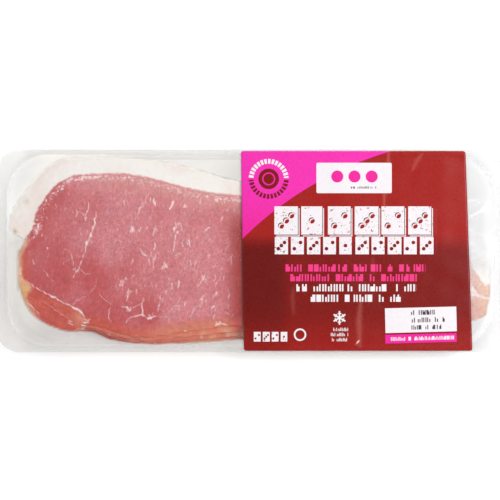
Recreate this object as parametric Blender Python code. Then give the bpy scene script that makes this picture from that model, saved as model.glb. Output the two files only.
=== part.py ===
"""Chilled pack of sliced back bacon, lying flat with its printed side up.

A clear thermoformed tray holds eight rashers in a slightly fanned stack. A clear
lidding film is sealed to the tray's flange, and a printed label is stuck across it.
Frame: metres, +X along the pack, +Z up, origin at the centre of the pack's footprint.
"""
import math

import bmesh
import bpy
from mathutils import Matrix, Vector

# Pack outline
PACK_LENGTH = 0.277
PACK_WIDTH = 0.1106
PACK_CORNER = 0.013
GAP = 0.0003  # free space between pieces that touch

# Tray
TRAY_WALL = 0.0004
FLANGE_TOP = 0.0150
CAVITY_LENGTH = 0.265
CAVITY_WIDTH = 0.1056
CAVITY_CORNER = 0.022
WALL_DRAFT = math.radians(2.5)
RIM_ROUND = 0.0007
BASE_ROUND = 0.0024
CORNER_STEPS = 11
ROUND_STEPS = 3

# Film and label
FILM_THICK = 0.0003
LABEL_THICK = 0.0003
LABEL_WIDTH = 0.1090
LABEL_ROUND = 0.0014
LABEL_BACK_ENDS = (-0.0049, 0.1175)  # left and right end along the far long side
LABEL_FRONT_ENDS = (-0.0033, 0.1214)  # the same along the near long side

# Rashers
RASHER_THICK = 0.0015
EDGE_ROUND = 0.0004
OUTLINE_STEPS = 4
# Outline of the top rasher: back fat along +Y, round loin end at -X, belly end at +X.
RASHER_OUTLINE = (
    (-0.1309, 0.0177), (-0.1245, 0.0305), (-0.1090, 0.0473), (-0.0940, 0.0511),
    (-0.0640, 0.0509), (-0.0365, 0.0466), (-0.0049, 0.0379), (0.0400, 0.0340),
    (0.0900, 0.0405), (0.1165, 0.0415), (0.1268, 0.0270), (0.1286, 0.0050),
    (0.1312, -0.0165), (0.1302, -0.0290), (0.1245, -0.0375), (0.0860, -0.0425),
    (0.0400, -0.0410), (-0.0060, -0.0417), (-0.0350, -0.0440), (-0.0580, -0.0474),
    (-0.0760, -0.0450), (-0.0880, -0.0415), (-0.1020, -0.0434), (-0.1180, -0.0358),
    (-0.1255, -0.0225), (-0.1270, -0.0035), (-0.1236, 0.0062), (-0.1296, 0.0105),
)
# A lower rasher's near edge hangs out further between these two ranges of X.
BELLY_RISE = (-0.100, -0.015)
BELLY_FALL = (0.060, 0.120)
# Each rasher from the bottom up: shift along X and Y, turn in degrees, size and belly.
RASHER_PLACES = (
    (0.0002, -0.0006, 0.20, 0.975, 0.0040),
    (-0.0003, -0.0009, -0.15, 0.980, 0.0056),
    (0.0004, -0.0007, 0.25, 0.985, 0.0064),
    (-0.0004, -0.0007, 0.05, 0.984, 0.0066),
    (0.0003, -0.0008, 0.15, 0.988, 0.0068),
    (-0.0005, -0.0009, 0.10, 0.990, 0.0048),
    (-0.0004, -0.0007, 0.12, 0.996, 0.0025),
    (0.0000, 0.0000, 0.00, 1.000, 0.0000),
)

# Colour (linear), roughness, metallic and transparency of each finish
FINISHES = {
    "tray_plastic": ((0.86, 0.86, 0.85, 1.0), 0.12, 0.0, 0.25),
    "lid_film": ((0.92, 0.92, 0.92, 1.0), 0.08, 0.0, 0.15),
    "label_print": ((0.40, 0.027, 0.032, 1.0), 0.38, 0.0, 1.0),
    "rasher_meat": ((0.58, 0.13, 0.16, 1.0), 0.42, 0.0, 1.0),
}


def clear_scene():
    for item in list(bpy.data.objects):
        bpy.data.objects.remove(item, do_unlink=True)


def make_finish(name):
    colour, roughness, metallic, alpha = FINISHES[name]
    finish = bpy.data.materials.new(name)
    finish.use_nodes = True
    shader = finish.node_tree.nodes["Principled BSDF"]
    shader.inputs["Base Color"].default_value = colour
    shader.inputs["Roughness"].default_value = roughness
    shader.inputs["Metallic"].default_value = metallic
    shader.inputs["Alpha"].default_value = alpha
    finish.diffuse_color = colour
    return finish


def add_object(name, shape, finish):
    """Puts a finished bmesh in the scene as one named object."""
    bmesh.ops.recalc_face_normals(shape, faces=shape.faces)
    mesh = bpy.data.meshes.new(name)
    shape.to_mesh(mesh)
    shape.free()
    mesh.materials.append(finish)
    piece = bpy.data.objects.new(name, mesh)
    bpy.context.collection.objects.link(piece)
    return piece


def rounded_corners(corners, radius, steps):
    """Outline of a convex polygon, given anticlockwise, with an arc at each corner."""
    outline = []
    count = len(corners)
    for index, corner in enumerate(corners):
        here = Vector(corner)
        back = (Vector(corners[index - 1]) - here).normalized()
        ahead = (Vector(corners[(index + 1) % count]) - here).normalized()
        half_angle = back.angle(ahead) / 2.0
        centre = here + (back + ahead).normalized() * radius / math.sin(half_angle)
        start = here + back * radius / math.tan(half_angle) - centre
        sweep = math.pi - 2.0 * half_angle
        for step in range(steps + 1):
            arm = Matrix.Rotation(sweep * step / steps, 2) @ start
            outline.append(centre + arm)
    return outline


def rounded_rectangle(length, width, radius, steps):
    x = length / 2.0
    y = width / 2.0
    corners = ((x, y), (-x, y), (-x, -y), (x, -y))
    return rounded_corners(corners, radius, steps)


def add_loop(shape, outline, z):
    return [shape.verts.new((point[0], point[1], z)) for point in outline]


def bridge(shape, lower, upper):
    """Band of quads between two loops with the same number of points."""
    count = len(lower)
    for index in range(count):
        after = (index + 1) % count
        shape.faces.new((lower[index], lower[after], upper[after], upper[index]))


def plate(outline, bottom, thickness):
    """Flat plate with the given outline."""
    shape = bmesh.new()
    low = add_loop(shape, outline, bottom)
    high = add_loop(shape, outline, bottom + thickness)
    bridge(shape, low, high)
    shape.faces.new(low)
    shape.faces.new(high)
    return shape


def tray_profile():
    """Inset from the cavity's edge and height, from the flange down to the floor."""
    turn = math.pi / 2.0 - WALL_DRAFT
    points = []
    for step in range(ROUND_STEPS + 1):
        angle = turn * step / ROUND_STEPS
        points.append((RIM_ROUND * math.sin(angle), FLANGE_TOP - RIM_ROUND * (1.0 - math.cos(angle))))
    rim_inset, rim_height = points[-1]
    base_drop = BASE_ROUND * (1.0 - math.cos(turn))
    wall_foot = TRAY_WALL + base_drop
    foot_inset = rim_inset + (rim_height - wall_foot) * math.tan(WALL_DRAFT)
    for step in range(ROUND_STEPS + 1):
        angle = turn * (1.0 - step / ROUND_STEPS)
        inset = foot_inset + BASE_ROUND * (math.sin(turn) - math.sin(angle))
        points.append((inset, TRAY_WALL + BASE_ROUND * (1.0 - math.cos(angle))))
    return points


def build_tray():
    """Open tray: flange, drafted wall and flat floor, as one sheet given its wall thickness."""
    shape = bmesh.new()
    outer = rounded_rectangle(PACK_LENGTH, PACK_WIDTH, PACK_CORNER, CORNER_STEPS)
    loops = [add_loop(shape, outer, FLANGE_TOP)]
    for inset, height in tray_profile():
        length = CAVITY_LENGTH - 2.0 * inset
        width = CAVITY_WIDTH - 2.0 * inset
        loop = rounded_rectangle(length, width, CAVITY_CORNER - inset, CORNER_STEPS)
        loops.append(add_loop(shape, loop, height))
    for upper, lower in zip(loops, loops[1:]):
        bridge(shape, upper, lower)
    floor = shape.faces.new(loops[-1])
    bmesh.ops.recalc_face_normals(shape, faces=shape.faces)
    floor.normal_update()
    if floor.normal.z < 0.0:
        bmesh.ops.reverse_faces(shape, faces=shape.faces)
    mesh = bpy.data.meshes.new("tray")
    shape.to_mesh(mesh)
    shape.free()
    mesh.materials.append(make_finish("tray_plastic"))
    tray = bpy.data.objects.new("tray", mesh)
    bpy.context.collection.objects.link(tray)
    wall = tray.modifiers.new("wall", "SOLIDIFY")
    wall.thickness = TRAY_WALL
    wall.offset = -1.0
    wall.use_even_offset = True
    return tray


def smooth_outline(points, steps):
    """Closed Catmull-Rom curve through the given points."""
    outline = []
    count = len(points)
    for index in range(count):
        before, start, end, after = (Vector(points[(index + k) % count]) for k in (-1, 0, 1, 2))
        for step in range(steps):
            t = step / steps
            curve = 2.0 * start + (end - before) * t
            curve += (2.0 * before - 5.0 * start + 4.0 * end - after) * t ** 2
            curve += (3.0 * start - before - 3.0 * end + after) * t ** 3
            outline.append(curve / 2.0)
    return outline


def shrink_outline(outline, inset):
    """Moves each point of a clockwise outline inwards along its corner's normal."""
    moved = []
    count = len(outline)
    for index, point in enumerate(outline):
        along = (outline[(index + 1) % count] - outline[index - 1]).normalized()
        moved.append(point + Vector((along.y, -along.x)) * inset)
    return moved


def ease(value, start, end):
    """Smooth step from 0 at start to 1 at end."""
    t = min(max((value - start) / (end - start), 0.0), 1.0)
    return t * t * (3.0 - 2.0 * t)


def hang_out(point, belly):
    """Lowers a point of the near edge by the belly, fading out towards both ends."""
    share = ease(point.x, *BELLY_RISE) * (1.0 - ease(point.x, *BELLY_FALL))
    if point.y > 0.0:
        return point
    return point - Vector((0.0, belly * share))


def build_rasher(number, place, bottom, finish):
    """One slice: a flat slab with the loin's outline and softened edges."""
    shift_x, shift_y, turn, size, belly = place
    turned = Matrix.Rotation(math.radians(turn), 2)
    outline = []
    for point in smooth_outline(RASHER_OUTLINE, OUTLINE_STEPS):
        own = hang_out(point * size, belly)
        outline.append(turned @ own + Vector((shift_x, shift_y)))
    narrow = shrink_outline(outline, EDGE_ROUND)
    top = bottom + RASHER_THICK
    shape = bmesh.new()
    loops = [
        add_loop(shape, narrow, bottom),
        add_loop(shape, outline, bottom + EDGE_ROUND),
        add_loop(shape, outline, top - EDGE_ROUND),
        add_loop(shape, narrow, top),
    ]
    for lower, upper in zip(loops, loops[1:]):
        bridge(shape, lower, upper)
    shape.faces.new(loops[0])
    shape.faces.new(loops[-1])
    bmesh.ops.triangulate(shape, faces=[face for face in shape.faces if len(face.verts) > 4])
    return add_object(f"rasher_{number}", shape, finish)


def build_stack():
    finish = make_finish("rasher_meat")
    bottom = TRAY_WALL + GAP
    for number, place in enumerate(RASHER_PLACES, start=1):
        build_rasher(number, place, bottom, finish)
        bottom += RASHER_THICK + GAP


def build_film():
    outline = rounded_rectangle(PACK_LENGTH, PACK_WIDTH, PACK_CORNER, CORNER_STEPS)
    shape = plate(outline, FLANGE_TOP + GAP, FILM_THICK)
    return add_object("film", shape, make_finish("lid_film"))


def build_label():
    """Label across the whole pack, with its two ends cut slightly askew."""
    y = LABEL_WIDTH / 2.0
    back_left, back_right = LABEL_BACK_ENDS
    front_left, front_right = LABEL_FRONT_ENDS
    corners = ((back_right, y), (back_left, y), (front_left, -y), (front_right, -y))
    outline = rounded_corners(corners, LABEL_ROUND, ROUND_STEPS)
    bottom = FLANGE_TOP + 2.0 * GAP + FILM_THICK
    return add_object("label", plate(outline, bottom, LABEL_THICK), make_finish("label_print"))


def main():
    clear_scene()
    build_tray()
    build_stack()
    build_film()
    build_label()


main()
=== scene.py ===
import math

import bmesh
import bpy
import numpy as np
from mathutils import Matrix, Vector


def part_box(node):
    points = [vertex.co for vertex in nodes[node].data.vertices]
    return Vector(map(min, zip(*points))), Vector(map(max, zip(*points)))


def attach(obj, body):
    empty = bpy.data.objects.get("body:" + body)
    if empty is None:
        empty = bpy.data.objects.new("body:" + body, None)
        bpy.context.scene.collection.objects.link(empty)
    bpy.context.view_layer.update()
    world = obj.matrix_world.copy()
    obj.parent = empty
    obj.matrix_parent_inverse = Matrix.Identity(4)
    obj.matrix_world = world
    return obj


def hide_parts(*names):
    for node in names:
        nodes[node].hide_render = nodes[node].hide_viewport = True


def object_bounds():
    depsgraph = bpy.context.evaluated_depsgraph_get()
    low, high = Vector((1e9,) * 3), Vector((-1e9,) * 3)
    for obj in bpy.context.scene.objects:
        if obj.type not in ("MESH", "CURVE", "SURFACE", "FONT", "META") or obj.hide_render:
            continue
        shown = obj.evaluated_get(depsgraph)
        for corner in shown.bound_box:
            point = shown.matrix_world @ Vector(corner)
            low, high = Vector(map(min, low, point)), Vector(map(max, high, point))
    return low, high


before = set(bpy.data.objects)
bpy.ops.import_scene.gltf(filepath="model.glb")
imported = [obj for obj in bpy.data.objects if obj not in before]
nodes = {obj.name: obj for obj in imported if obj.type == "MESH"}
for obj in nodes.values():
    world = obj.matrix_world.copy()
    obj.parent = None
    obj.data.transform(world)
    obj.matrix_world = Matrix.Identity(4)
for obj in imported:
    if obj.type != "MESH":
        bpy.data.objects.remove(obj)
cadLow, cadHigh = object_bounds()
mm = 0.001
print("frame loaded:", len(nodes), "nodes")


class Look(dict):
    # A dictionary whose values can also be read as attributes.
    __getattr__ = dict.__getitem__


# Shapes: helpers shared by all pieces


def nodePoints(name):
    # Every point of a CAD node, as rows of x, y, z.
    mesh = nodes[name].data
    flat = np.empty(len(mesh.vertices) * 3, np.float32)
    mesh.vertices.foreach_get("co", flat)
    return flat.reshape(-1, 3).astype(float)


def smooth(value, start, end):
    # 0 at start, 1 at end and 3t2 - 2t3 between; a start above the end makes it fall.
    t = np.clip((value - start) / (end - start), 0, 1)
    return t * t * (3 - 2 * t)


def waves(x, y, size, seed, count=14):
    # Smooth noise of about unit height: a sum of sine waves in seeded directions, each about size long.
    draw = np.random.default_rng(seed)
    turn = draw.uniform(0, 2 * math.pi, count)
    length = size * draw.uniform(0.7, 1.6, count)
    phase = draw.uniform(0, 2 * math.pi, count)
    total = np.zeros_like(x)
    for k in range(count):
        total += np.sin(2 * math.pi * (x * math.cos(turn[k]) + y * math.sin(turn[k])) / length[k] + phase[k])
    return total / math.sqrt(count)


def gridFaces(rows, columns, closedColumns=False):
    # Quads between neighbouring points of a grid stored row by row; the columns may close on themselves.
    r, c = np.meshgrid(np.arange(rows - 1), np.arange(columns - (not closedColumns)), indexing="ij")
    after = (c + 1) % columns
    corners = r * columns + c, r * columns + after, (r + 1) * columns + after, (r + 1) * columns + c
    return np.stack(corners, -1).reshape(-1, 4)


def addPiece(name, points, quads, finish, values=None, capLoop=None):
    # Mesh object from point and quad arrays, with one point attribute for each entry of values.
    mesh = bpy.data.meshes.new(name)
    loops, starts = quads.reshape(-1), np.arange(len(quads)) * 4
    if capLoop is not None:
        starts = np.append(starts, len(loops))
        loops = np.append(loops, capLoop)
    mesh.vertices.add(len(points))
    mesh.vertices.foreach_set("co", points.astype(np.float32).ravel())
    mesh.loops.add(len(loops))
    mesh.loops.foreach_set("vertex_index", loops.astype(np.int32))
    mesh.polygons.add(len(starts))
    mesh.polygons.foreach_set("loop_start", starts.astype(np.int32))
    mesh.polygons.foreach_set("use_smooth", np.ones(len(starts), bool))
    mesh.update(calc_edges=True)
    mesh.validate()
    for key, array in (values or {}).items():
        layer = mesh.attributes.new(key, "FLOAT", "POINT")
        layer.data.foreach_set("value", array.astype(np.float32).ravel())
    mesh.materials.append(finish)
    piece = bpy.data.objects.new(name, mesh)
    bpy.context.scene.collection.objects.link(piece)
    return piece


def weldPiece(piece, gap=1e-6):
    # Joins points closer together than the gap, so that seams close, and turns all faces outwards.
    shape = bmesh.new()
    shape.from_mesh(piece.data)
    bmesh.ops.remove_doubles(shape, verts=shape.verts, dist=gap)
    bmesh.ops.recalc_face_normals(shape, faces=shape.faces)
    shape.to_mesh(piece.data)
    shape.free()


def settle(piece, slot, *stoodFor):
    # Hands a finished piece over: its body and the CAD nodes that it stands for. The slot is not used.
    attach(piece, "root")
    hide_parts(*stoodFor)


def thicken(piece, thickness):
    # Gives a sheet its wall, measured inwards from the sheet.
    wall = piece.modifiers.new("wall", "SOLIDIFY")
    wall.thickness = thickness
    wall.offset = -1
    wall.use_even_offset = True


# Paths: routes are rows of x and y, mostly in mm, and a stroke is a route with its width and strength


def catmullRom(before, here, ahead, beyond, steps):
    # Points along smooth curves from each here to its ahead, by the Catmull-Rom rule.
    t = np.linspace(0, 1, steps, endpoint=False)[:, None, None]
    curve = 2 * here + (ahead - before) * t + (2 * before - 5 * here + 4 * ahead - beyond) * t ** 2
    curve = (curve + (3 * here - before - 3 * ahead + beyond) * t ** 3) / 2
    return curve.transpose(1, 0, 2).reshape(-1, 2)


def smoothRoute(route, steps=5):
    # Points along a smooth curve through every corner of a route.
    path = np.array(route, float)
    full = np.vstack([2 * path[0] - path[1], path, 2 * path[-1] - path[-2]])
    return np.vstack([catmullRom(full[:-3], full[1:-2], full[2:-1], full[3:], steps), path[-1:]])


def strokesOf(rows):
    # Rows of width, strength and then x and y of each corner, as strokes.
    return [(np.reshape(row[2:], (-1, 2)), row[0], row[1]) for row in rows]


def reachOf(path):
    # Arc length from the path's start to each of its points.
    return np.concatenate([[0], np.cumsum(np.linalg.norm(np.diff(path, axis=0), axis=1))])


def spotsAlong(stops, path):
    # The spots at the given arc lengths of a path.
    return np.stack([np.interp(stops, reachOf(path), path[:, k]) for k in range(2)], axis=1)


def nearPath(points, path):
    # For each point the nearest spot on a path of straight pieces: its distance, its arc length along the
    # path, and the side it lies on, +1 to the left of the path's direction and -1 to the right.
    reach = reachOf(path)
    start, step = path[:-1], np.diff(path, axis=0)
    square = np.maximum((step ** 2).sum(1), 1e-18)
    distance, place, side = np.empty((3, len(points)))
    for block in np.array_split(np.arange(len(points)), max(1, len(points) // 6000)):
        off = points[block, None, :] - start[None]
        t = np.clip((off * step).sum(2) / square, 0, 1)
        gap = np.linalg.norm(off - t[..., None] * step, axis=2)
        best, row = gap.argmin(1), np.arange(len(block))
        distance[block] = gap[row, best]
        place[block] = reach[best] + t[row, best] * np.sqrt(square[best])
        turn = step[best, 0] * off[row, best, 1] - step[best, 1] * off[row, best, 0]
        side[block] = np.where(turn >= 0, 1, -1)
    return distance, place, side


def strokeField(points, strokes, wander=0):
    # Strength of the strongest stroke at each point: a bell across each route, fading at its two ends. The
    # points wander by smooth noise first, so that the strokes come out ragged.
    x, y = points.T
    points = points + wander * np.stack([waves(x, y, 3, 71), waves(x, y, 3, 72)], axis=1)
    field = np.zeros(len(points))
    for route, width, strength in strokes:
        path = np.array(route)
        low, high = path.min(0) - 3 * width, path.max(0) + 3 * width
        near = np.flatnonzero(((points > low) & (points < high)).all(1))
        if len(near) == 0:
            continue
        distance, place, _ = nearPath(points[near], path)
        ends = 0.45 + 0.55 * np.sin(np.clip(place / reachOf(path)[-1], 0.04, 0.96) * math.pi)
        bell = strength * np.exp(-(distance / (0.62 * width * ends)) ** 2)
        field[near] = np.maximum(field[near], bell)
    return field * np.clip(1 - 0.5 * wander + 1.2 * wander * waves(x, y, 1.8, 73), 0.3, 1)


# Materials: helpers


def tone(red, green, blue, gain=1):
    # Linear colour of an sRGB triple from 0 to 255, times a gain.
    part = np.array([red, green, blue]) / 255
    linear = np.where(part <= 0.04045, part / 12.92, ((part + 0.055) / 1.055) ** 2.4) * gain
    return (*linear.tolist(), 1)


def tones(look):
    # Every colour of a look as a linear one, times the look's gain.
    return Look({key: tone(*item, look.get("gain", 1)) for key, item in look.items() if np.size(item) == 3})


class Wire:
    # A value in a shader tree: the output of a node. Arithmetic on wires adds Math nodes.
    def __init__(self, socket):
        self.socket = socket
        self.tree = socket.id_data

    def __rsub__(self, other):
        return calc("SUBTRACT", other, self)

    def __abs__(self):
        return calc("ABSOLUTE", self)


def put(kind, inputs, **settings):
    # Adds a node with its settings to the tree of its wires, and links or fills each input named or numbered.
    tree = next(item.tree for item in inputs.values() if isinstance(item, Wire))
    node = tree.nodes.new("ShaderNode" + kind)
    for key, value in settings.items():
        setattr(node, key, value)
    for key, value in inputs.items():
        if isinstance(value, Wire):
            tree.links.new(value.socket, node.inputs[key])
        else:
            node.inputs[key].default_value = value
    return [Wire(socket) for socket in node.outputs]


def calc(operation, *values):
    # One Math node.
    return put("Math", dict(enumerate(values)), operation=operation)[0]


def mathNode(operation):
    # One Math node of two values, for the signs below.
    return lambda first, second: calc(operation, first, second)


Wire.__add__, Wire.__sub__, Wire.__mul__ = mathNode("ADD"), mathNode("SUBTRACT"), mathNode("MULTIPLY")
Wire.__truediv__, Wire.__pow__ = mathNode("DIVIDE"), mathNode("POWER")
Wire.__lt__, Wire.__gt__ = mathNode("LESS_THAN"), mathNode("GREATER_THAN")


def hypotenuse(first, second):
    # Square root of the sum of two squares.
    return calc("SQRT", first ** 2 + second ** 2)


def ramp(value, low, high, start=0, end=1):
    # Smooth step of a value from start at low to end at high.
    inputs = {"Value": value, "From Min": low, "From Max": high, "To Min": start, "To Max": end}
    return put("MapRange", inputs, interpolation_type="SMOOTHSTEP")[0]


def mix(share, first, second, mode="MIX"):
    # Colour between first and second, at a share from 0 to 1.
    return put("Mix", {0: share, 6: first, 7: second}, data_type="RGBA", blend_type=mode)[2]


def noise(place, scale, detail=2, roughness=0.5, warp=0):
    # Fractal noise from 0 to 1; the scale is how many cells lie along one metre.
    inputs = {"Vector": place, "Scale": scale, "Detail": detail, "Roughness": roughness, "Distortion": warp}
    return put("TexNoise", inputs)[0]


def randomOf(number):
    # White noise: for each number its own draw from 0 to 1.
    return put("TexWhiteNoise", {1: number}, noise_dimensions="1D")[0]


def stretched(place, scale=(1, 1, 1), turn=0):
    # Coordinates scaled along each axis and then turned round the upright one.
    return put("Mapping", {"Vector": place, "Scale": scale, "Rotation": (0, 0, turn)})[0]


def axes(place):
    # x, y and z of a place.
    return put("SeparateXYZ", {0: place})


def bump(height, distance, strength):
    # Normal tilted by the slope of a height.
    return put("Bump", {"Height": height, "Distance": distance, "Strength": strength})[0]


def coordinates(tree, kind):
    # Texture coordinates of a shader tree.
    return Wire(tree.nodes.new("ShaderNodeTexCoord").outputs[kind])


def newFinish(name, *values):
    # A material; returns it, its object coordinates, and the named point values.
    finish = bpy.data.materials.new(name)
    finish.use_nodes = True
    wires = [coordinates(finish.node_tree, "Object")]
    for key in values:
        node = finish.node_tree.nodes.new("ShaderNodeAttribute")
        node.attribute_name = key
        wires.append(Wire(node.outputs["Fac"]))
    return finish, *wires


def feed(finish, **inputs):
    # Sets or links sockets of a material's shader, given by names without spaces.
    for socket in finish.node_tree.nodes["Principled BSDF"].inputs:
        item = inputs.get(socket.name.replace(" ", ""))
        if isinstance(item, Wire):
            finish.node_tree.links.new(item.socket, socket)
        elif item is not None:
            socket.default_value = item


def newGroup(name, numbers, results, places=("Place",)):
    # Empty node group with the named sockets; returns it, its given wires and the sockets for its results.
    group = bpy.data.node_groups.new(name, "ShaderNodeTree")
    sockets = ("INPUT", places, "Vector"), ("INPUT", numbers, "Float"), ("OUTPUT", results, "Float")
    for way, keys, kind in sockets:
        for key in keys:
            group.interface.new_socket(name=key, in_out=way, socket_type="NodeSocket" + kind)
    given = [Wire(socket) for socket in group.nodes.new("NodeGroupInput").outputs[:-1]]
    return group, given, group.nodes.new("NodeGroupOutput").inputs


def makeGrainGroup():
    # Two octaves of noise a factor of five apart: Shade centres on 1, Height on 0.5.
    group, (place, scale, amount), result = newGroup("fineGrain", ("Scale", "Amount"), ("Shade", "Height"))
    both = noise(place, scale * 5, 2, 0.6) * 0.4 + noise(place, scale, 3, 0.6) * 0.6
    group.links.new(((both - 0.5) * amount + 1).socket, result["Shade"])
    group.links.new(both.socket, result["Height"])
    return group


grainGroup = makeGrainGroup()


def grain(place, scale, amount):
    # Shade and height of fine grain.
    return put("Group", {"Place": place, "Scale": scale, "Amount": amount}, node_tree=grainGroup)


def shaded(tint, shade):
    # Tint times shade.
    return mix(1, tint, shade, "MULTIPLY")


# Rashers

rasherLook = Look(
    count=8,
    squeeze=0.14 * mm,  # how far each slice swells into the CAD gap above and below it
    edgeRound=0.32 * mm,
    fanLeft=-0.097,  # between these two the sections run straight across, beyond them they fan out
    fanRight=0.100,
    spineOut=0.009,
    wobble=0.35 * mm,  # unevenness of a cut edge
    stepOut=1.3 * mm,  # how far the lowest slices stand out on the near side
    drawIn=2.0 * mm,  # how far the topmost are drawn in there
    wall=50.8 * mm,  # how far from the pack's middle the wall stops a slice
    lowWall=49.4 * mm,
    sag=0.10 * mm,
    grain=0.05 * mm,
    fullLength=262.1 * mm,
    veinWidth=0.86,
    strands=760,
    dashes=140,
    crystals=40,
)

# Inner edge of the back fat from the notch below it round to the right end, in mm.
fatEdge = ((-140, 2), (-123.3, 6.3), (-121.6, 8.4), (-118.8, 11.7), (-118, 15.4), (-116.4, 20.8),
           (-114.6, 24.6), (-111.8, 29), (-108.2, 33.4), (-104.6, 36.8), (-100, 39.6), (-95.5, 41.2),
           (-88.6, 41.8), (-79.6, 42.2), (-68.2, 42), (-57.3, 40.4), (-50.5, 38.8), (-43.6, 37),
           (-36.8, 35), (-30, 33.5), (-23.2, 32.2), (-16.4, 31.3), (-7.3, 30.4), (10, 28.4),
           (40, 26.8), (75, 29), (98, 30), (110, 26.5), (115.5, 18), (117.5, 6),
           (120.4, -5), (122, -10.6), (124.3, -13.6), (126.4, -17.2), (127.8, -19), (129.3, -18.8),
           (140, -12))

# Seam of fat between the loin's eye and the thin muscle under it, in mm.
seamRoute = ((-127, -9.4), (-125.4, -11.6), (-124.6, -14), (-122.6, -16.2), (-119.4, -18.4), (-114, -21.8),
             (-110, -23.8), (-106.8, -25.6), (-102.6, -28), (-98.4, -30), (-95.6, -31.4), (-92.6, -33),
             (-91.2, -35.4), (-89.6, -37.4), (-87.4, -38.2))

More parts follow.
